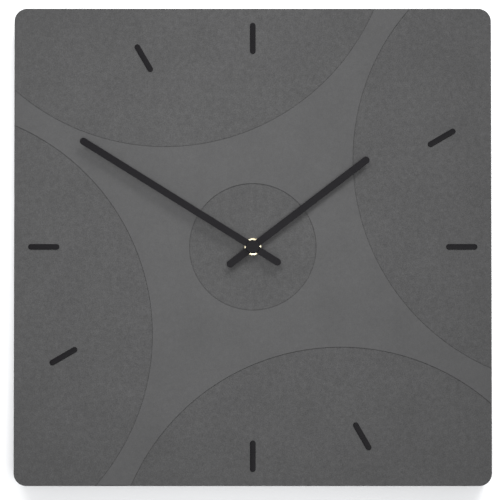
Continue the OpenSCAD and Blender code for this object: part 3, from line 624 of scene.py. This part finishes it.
# Copies of a shape in a straight row, one step apart
def makeStraightRowTree():
    tree, ins = startTree("straightRow", {
        "Count": ("NodeSocketInt", 6), "First": ("NodeSocketVector", (0, 0, 0)),
        "Step": ("NodeSocketVector", (0, 0, 0)), "Material": ("NodeSocketMaterial", None)})
    points, index = pointRow(tree, ins["Count"])
    run = addNode(tree, "ShaderNodeVectorMath", operation="SCALE")
    tree.links.new(ins["Step"], run.inputs[0])
    tree.links.new(index, run.inputs["Scale"])
    place = addNode(tree, "ShaderNodeVectorMath", operation="ADD")
    tree.links.new(run.outputs[0], place.inputs[0])
    tree.links.new(ins["First"], place.inputs[1])
    endTree(tree, scatterOn(tree, points, ins["Geometry"], place.outputs[0], None), ins["Material"])
    return tree


trees = {
    "dialMarks": makeDialMarksTree(),
    "roundRow": makeRoundRowTree(),
    "straightRow": makeStraightRowTree(),
}


def newObject(name, mesh):
    piece = bpy.data.objects.new(name, mesh)
    scene.collection.objects.link(piece)
    return piece


# Runs a tree on a shape and returns its result as a plain mesh
def growMesh(shape, treeName, values):
    source = newObject("source_" + treeName, shape)
    modifier = source.modifiers.new(treeName, "NODES")
    modifier.node_group = trees[treeName]
    for item in trees[treeName].interface.items_tree:
        if item.item_type == "SOCKET" and item.in_out == "INPUT" and item.name in values:
            modifier[item.identifier] = values[item.name]
    bpy.context.view_layer.update()
    evaluated = source.evaluated_get(bpy.context.evaluated_depsgraph_get())
    mesh = bpy.data.meshes.new_from_object(evaluated)
    source.modifiers.clear()
    bpy.data.objects.remove(source)
    return mesh


# Joins meshes into one piece on a body, shaded smooth up to sharp edges
def settle(name, meshes, body, slotName, replaced=(), sharp=38):
    whole = bmesh.new()
    for mesh in meshes:
        whole.from_mesh(mesh)
    bmesh.ops.remove_doubles(whole, verts=whole.verts, dist=1e-7)
    bmesh.ops.recalc_face_normals(whole, faces=whole.faces)
    joined = bpy.data.meshes.new(name)
    whole.to_mesh(joined)
    whole.free()
    joined.shade_smooth()
    joined.set_sharp_from_angle(angle=math.radians(sharp))
    joined.materials.clear()
    joined.materials.append(slotMaterials[slotName])
    piece = newObject(name, joined)
    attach(piece, body)
    if replaced:
        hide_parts(*replaced)
    return piece


def meshFrom(build):
    shape = bmesh.new()
    build(shape)
    mesh = bpy.data.meshes.new("shape")
    shape.to_mesh(mesh)
    shape.free()
    return mesh


# Skins a stack of loops with the same number of points and closes both ends
def skinLoops(shape, loops):
    rings = [[shape.verts.new(point) for point in loop] for loop in loops]
    count = len(rings[0])
    for near, far in zip(rings, rings[1:]):
        for k in range(count):
            shape.faces.new((near[k], near[(k + 1) % count], far[(k + 1) % count], far[k]))
    shape.faces.new(rings[0])
    shape.faces.new(rings[-1])


# Skins loops into a ring: the last one joins the first, and no end is closed
def skinRing(shape, loops):
    rings = [[shape.verts.new(point) for point in loop] for loop in loops]
    for near, far in zip(rings, rings[1:] + rings[:1]):
        for k in range(len(near)):
            after = (k + 1) % len(near)
            shape.faces.new((near[k], near[after], far[after], far[k]))


# Loop of a bar with round ends along z; the depth is the distance from the wall
def barLoop(halfWidth, straight, inset, depth, steps=12):
    radius = halfWidth - inset
    loop = []
    for end, start in ((1, 0), (-1, math.pi)):
        for k in range(steps + 1):
            angle = start + math.pi * k / steps
            across, along = radius * math.cos(angle), radius * math.sin(angle)
            loop.append((across, -depth, end * straight / 2 + along))
    return loop


def circleLoop(radius, depth, centre=(0.0, 0.0), steps=64):
    return [(centre[0] + radius * math.cos(2 * math.pi * k / steps), -depth,
             centre[1] + radius * math.sin(2 * math.pi * k / steps)) for k in range(steps)]


barLook = {
    "edgeRound": 0.28 * millimetre,
    "roundSteps": 5,
    "crown": 0.04 * millimetre,
    "crownInsets": ((0.30, 0.3), (0.44, 0.0)),  # share of the width, share of the crown left
}


def makeHourBars(look):
    low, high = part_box("hour_bar_12")
    width = high[0] - low[0]
    length = high[2] - low[2]
    rear, front = -high[1], -low[1]
    edge = look["edgeRound"]
    crown = look["crown"]
    profile = [(0.0, rear), (0.0, front - crown - edge)]
    for k in range(1, look["roundSteps"] + 1):
        angle = math.pi / 2 * k / look["roundSteps"]
        inset, drop = edge * (1 - math.cos(angle)), edge * (1 - math.sin(angle))
        profile.append((inset, front - crown - drop))
    for inset, left in look["crownInsets"]:
        profile.append((width * inset, front - crown * left))
    bar = meshFrom(lambda shape: skinLoops(
        shape, [barLoop(width / 2, length - width, inset, depth) for inset, depth in profile]))
    # the slanted bars' outer ends, from the box of the one at 2 o'clock
    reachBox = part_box("hour_bar_2")[1]
    straightPart = (reachBox[0] - width / 2) / math.sin(math.pi / 3)
    marks = growMesh(bar, "dialMarks", {
        "Count": 8, "Straight Reach": high[2], "Slanted Reach": straightPart + width / 2,
        "Length": length, "Material": inlayMaterial})
    settle("hour_bars", [marks], "clock", "black_inlay",
           ["hour_bar_%d" % hour for hour in (12, 2, 3, 5, 6, 8, 9, 11)])


knobLook = {
    "ribs": 24,
    "ribRadius": 0.30 * millimetre,
    "ribTaper": 0.6,  # share of a rib's radius left at its ends
    "edge": 0.2 * millimetre,
    "dish": 0.35 * millimetre,
    "rim": 0.9 * millimetre,
    "eye": 0.9 * millimetre,
}


def makeKnob(look):
    low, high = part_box("setting_knob")
    centre = ((low[0] + high[0]) / 2, (low[2] + high[2]) / 2)
    outer = (high[0] - low[0]) / 2
    rear, front = -high[1], -low[1]
    body = outer - look["ribRadius"]
    edge = look["edge"]
    dish = look["dish"]
    rim = body - look["rim"]
    profile = [
        (body - edge, front), (body, front - edge), (body, rear + edge),
        (body - edge * 0.3, rear + edge * 0.3), (body - edge, rear), (rim, rear),
        (rim - edge, rear + dish), (look["eye"], rear + dish),
        (look["eye"] - edge, rear + dish * 0.7),
    ]
    disc = meshFrom(lambda shape: skinLoops(
        shape, [circleLoop(radius, depth, centre) for radius, depth in profile]))
    taper = look["ribTaper"]
    ribProfile = ((taper, front - edge), (1.0, front - 2 * edge), (1.0, rear + 2 * edge),
                  (taper, rear + edge))
    rib = meshFrom(lambda shape: skinLoops(shape, [
        circleLoop(look["ribRadius"] * scale, depth, steps=10) for scale, depth in ribProfile]))
    ribs = growMesh(rib, "roundRow", {
        "Count": look["ribs"], "Radius": body, "Centre": (centre[0], 0.0, centre[1]),
        "Material": caseMaterial})
    settle("setting_knob_moulded", [disc, ribs], "setting_knob", "black_case", ["setting_knob"])


coilLook = {
    "wire": 0.36 * millimetre,
    "wireSides": 6,
    "core": 2.72 * millimetre,
}


def makeCoil(look):
    low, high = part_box("coil_winding")
    centreY, centreZ = (low[1] + high[1]) / 2, (low[2] + high[2]) / 2
    outer = (high[2] - low[2]) / 2
    wire = look["wire"]
    turns = int((high[0] - low[0]) / wire)

    def ringAt(radius, x, y=0.0, z=0.0, steps=28):
        angles = [2 * math.pi * k / steps for k in range(steps)]
        return [(x, y + radius * math.cos(a), z + radius * math.sin(a)) for a in angles]

    def turnShape(shape):
        middle = outer - wire / 2
        angles = [2 * math.pi * k / look["wireSides"] for k in range(look["wireSides"])]
        skinRing(shape, [ringAt(middle + wire / 2 * math.cos(a), wire / 2 * math.sin(a))
                         for a in angles])

    # what shows between the turns
    def sleeveShape(shape):
        half = (high[0] - low[0]) / 2
        skin = outer - wire * 0.7
        walls = [(look["core"], -half), (skin, -half), (skin, half), (look["core"], half)]
        skinRing(shape, [ringAt(radius, x, centreY, centreZ) for radius, x in walls])

    wound = growMesh(meshFrom(turnShape), "straightRow", {
        "Count": turns, "First": (low[0] + wire / 2, centreY, centreZ), "Step": (wire, 0.0, 0.0),
        "Material": copperMaterial})
    settle("coil_turns", [wound, meshFrom(sleeveShape)], "clock", "copper_wire",
           ["coil_winding"], 60)


coverLook = {
    "proud": 0.35 * millimetre,
    "sunk": 0.1 * millimetre,
    "soft": 0.12 * millimetre,
    "ribCount": 7,
    "ribLength": 15.0 * millimetre,
    "ribHalf": 0.4 * millimetre,
    "ribStep": 2.4 * millimetre,
    "ribCorner": (-16.0 * millimetre, 21.5 * millimetre),
    "studRadius": 1.5 * millimetre,
    "studInset": 3.2 * millimetre,
    "wellGap": 1.0 * millimetre,  # from the knob to the ring round it
    "wellRing": 0.7 * millimetre,
    "arrowRadius": 7.9 * millimetre,
    "arrowWidth": 0.8 * millimetre,
    "arrowStarts": (60, 240),  # degrees
    "arrowSweep": 60,
    "arrowTip": 14,
    "arrowHead": (0.6 * millimetre, 0.5 * millimetre),  # at its foot and at its top
    "signSize": 2.2 * millimetre,
    "signHalf": 0.3 * millimetre,
    "signInset": (9.0 * millimetre, 2.4 * millimetre),
}


# Marks moulded on the movement's rear cover: ribs, studs, a ring and turning arrows
# at the knob, and the signs of the cell's two ends
def makeCoverMarks(look):
    low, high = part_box("case_rear")
    knobLow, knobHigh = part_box("setting_knob")
    knob = ((knobLow[0] + knobHigh[0]) / 2, (knobLow[2] + knobHigh[2]) / 2)
    face = -high[1]
    sunk = face + look["sunk"]
    top = face - look["proud"]
    soft = look["soft"]
    # inset and depth of each loop of a raised mark with a softened edge
    mould = ((0.0, sunk), (0.0, top + soft), (soft, top))
    shapes = []

    def raised(outlineAt):
        return meshFrom(lambda shape: skinLoops(shape, [
            [(x, -depth, z) for x, z in outlineAt(inset)] for inset, depth in mould]))

    def box(centreX, centreZ, halfX, halfZ):
        def corners(cut):
            a, b = halfX - cut, halfZ - cut
            return [(centreX + i * a, centreZ + k * b)
                    for i, k in ((-1, -1), (1, -1), (1, 1), (-1, 1))]
        return raised(corners)

    rib = meshFrom(lambda shape: skinLoops(shape, [
        [(z, y, x) for x, y, z in barLoop(look["ribHalf"], look["ribLength"], inset, depth, 6)]
        for inset, depth in mould]))
    shapes.append(growMesh(rib, "straightRow", {
        "Count": look["ribCount"], "First": (look["ribCorner"][0], 0.0, look["ribCorner"][1]),
        "Step": (0.0, 0.0, -look["ribStep"]), "Material": caseMaterial}))
    for x in (low[0] + look["studInset"], high[0] - look["studInset"]):
        for z in (low[2] + look["studInset"], high[2] - look["studInset"]):
            shapes.append(meshFrom(lambda shape, at=(x, z): skinLoops(shape, [
                circleLoop(look["studRadius"] - cut, depth, at, 24) for cut, depth in mould])))

    inner = (knobHigh[0] - knobLow[0]) / 2 + look["wellGap"]
    outer = inner + look["wellRing"]
    walls = [(inner, sunk), (inner, top + soft), (inner + soft, top), (outer - soft, top),
             (outer, top + soft), (outer, sunk)]
    shapes.append(meshFrom(lambda shape: skinRing(
        shape, [circleLoop(radius, depth, knob) for radius, depth in walls])))

    # an arc with a head at its end, above and below the knob
    def arrow(start, cut):
        steps = 14
        sweep = look["arrowSweep"]
        radius = look["arrowRadius"]
        half = look["arrowWidth"] / 2 - cut
        head = half + look["arrowHead"][1 if cut else 0]
        angles = [math.radians(start + sweep * k / steps) for k in range(steps + 1)]
        tip = math.radians(start + sweep + look["arrowTip"])
        outline = [(radius + half, a) for a in angles]
        outline += [(radius + head, angles[-1]), (radius, tip), (radius - head, angles[-1])]
        outline += [(radius - half, a) for a in reversed(angles)]
        return [(knob[0] + r * math.cos(a), knob[1] + r * math.sin(a)) for r, a in outline]

    for start in look["arrowStarts"]:
        shapes.append(raised(lambda cut, start=start: arrow(start, cut)))

    # plus and minus signs beside the cell's two ends
    long, short = look["signSize"] / 2, look["signHalf"]
    insetX, insetZ = look["signInset"]
    signZ = low[2] + insetZ
    shapes.append(box(-high[0] + insetX, signZ, long, short))
    plusX = high[0] - insetX
    shapes.append(box(plusX, signZ, long, short))
    for side in (-1, 1):
        shapes.append(box(plusX, signZ + side * (long + short) / 2, short, (long - short) / 2))
    settle("cover_marks", shapes, "clock", "black_case", sharp=30)


makeHourBars(barLook)
makeKnob(knobLook)
makeCoil(coilLook)
makeCoverMarks(coverLook)
print("pieces grown")


# ---- stage ----

stageLook = {
    "gapBehind": 0.0006,
    "halfSize": 4.0,
    "paper": (0.765, 0.765, 0.77),
    "sky": (0.60, 0.61, 0.62),
    "skyStrength": 1.27,
    "seenSky": (0.86, 0.87, 0.88),
}


# The wall is seen from the front only, so that the clock shows when it is looked at from behind
def addWall(look):
    mesh = bpy.data.meshes.new("wall_sheet")
    half = look["halfSize"]
    y = look["gapBehind"]
    mesh.from_pydata([(-half, y, -half), (half, y, -half), (half, y, half), (-half, y, half)], [],
                     [(0, 1, 2, 3)])
    wall = bpy.data.objects.new("wall_sheet", mesh)
    scene.collection.objects.link(wall)
    material = bpy.data.materials.new("wallPaper")
    material.use_nodes = True
    tree = material.node_tree
    tree.nodes.remove(tree.nodes["Principled BSDF"])
    paint = addNode(tree, "ShaderNodeBsdfDiffuse")
    paint.inputs["Color"].default_value = (*look["paper"], 1.0)
    clear = addNode(tree, "ShaderNodeBsdfTransparent")
    geometry = addNode(tree, "ShaderNodeNewGeometry")
    path = addNode(tree, "ShaderNodeLightPath")
    hidden = mathNode(
        tree, "MAXIMUM", geometry.outputs["Backfacing"], path.outputs["Is Shadow Ray"])
    mix = addNode(tree, "ShaderNodeMixShader")
    tree.links.new(hidden, mix.inputs[0])
    tree.links.new(paint.outputs[0], mix.inputs[1])
    tree.links.new(clear.outputs[0], mix.inputs[2])
    tree.links.new(mix.outputs[0], tree.nodes["Material Output"].inputs["Surface"])
    mesh.materials.append(material)


def addSky(look):
    world = bpy.data.worlds.new("studio")
    scene.world = world
    world.use_nodes = True
    tree = world.node_tree
    sky = tree.nodes["Background"]
    sky.inputs["Color"].default_value = (*look["sky"], 1.0)
    sky.inputs["Strength"].default_value = look["skyStrength"]
    seen = addNode(tree, "ShaderNodeBackground")
    seen.inputs["Color"].default_value = (*look["seenSky"], 1.0)
    path = addNode(tree, "ShaderNodeLightPath")
    mix = addNode(tree, "ShaderNodeMixShader")
    tree.links.new(path.outputs["Is Camera Ray"], mix.inputs[0])
    tree.links.new(sky.outputs[0], mix.inputs[1])
    tree.links.new(seen.outputs[0], mix.inputs[2])
    tree.links.new(mix.outputs[0], tree.nodes["World Output"].inputs["Surface"])


lamps = {
    # place, aim, side, spread in degrees, watts
    "key_panel": ((0.400, -0.700, 1.000), (-0.03, 0.0, 0.03), 0.60, 40.0, 1.38),
    "left_panel": ((-0.230, -0.603, 0.454), (-0.03, 0.0, 0.03), 0.40, 40.0, 0.34),
    "front_panel": ((0.139, -1.239, -0.145), (-0.03, 0.0, 0.03), 0.62, 40.0, 0.90),
    "back_panel": ((0.7, 1.3, 0.9), (0.0, 0.0, 0.0), 0.7, 180.0, 50.0),
    "back_fill": ((-1.1, 1.1, -0.2), (0.0, 0.0, 0.0), 1.0, 180.0, 24.0),
}


def addLamps():
    for name, (place, aim, side, spread, watts) in lamps.items():
        data = bpy.data.lights.new(name, "AREA")
        data.shape = "SQUARE"
        data.size = side
        data.spread = math.radians(spread)
        data.energy = watts
        lamp = bpy.data.objects.new(name, data)
        lamp.location = place
        lamp.rotation_euler = (Vector(aim) - Vector(place)).to_track_quat("-Z", "Y").to_euler()
        scene.collection.objects.link(lamp)


addWall(stageLook)
addSky(stageLook)
addLamps()
print("stage lit")
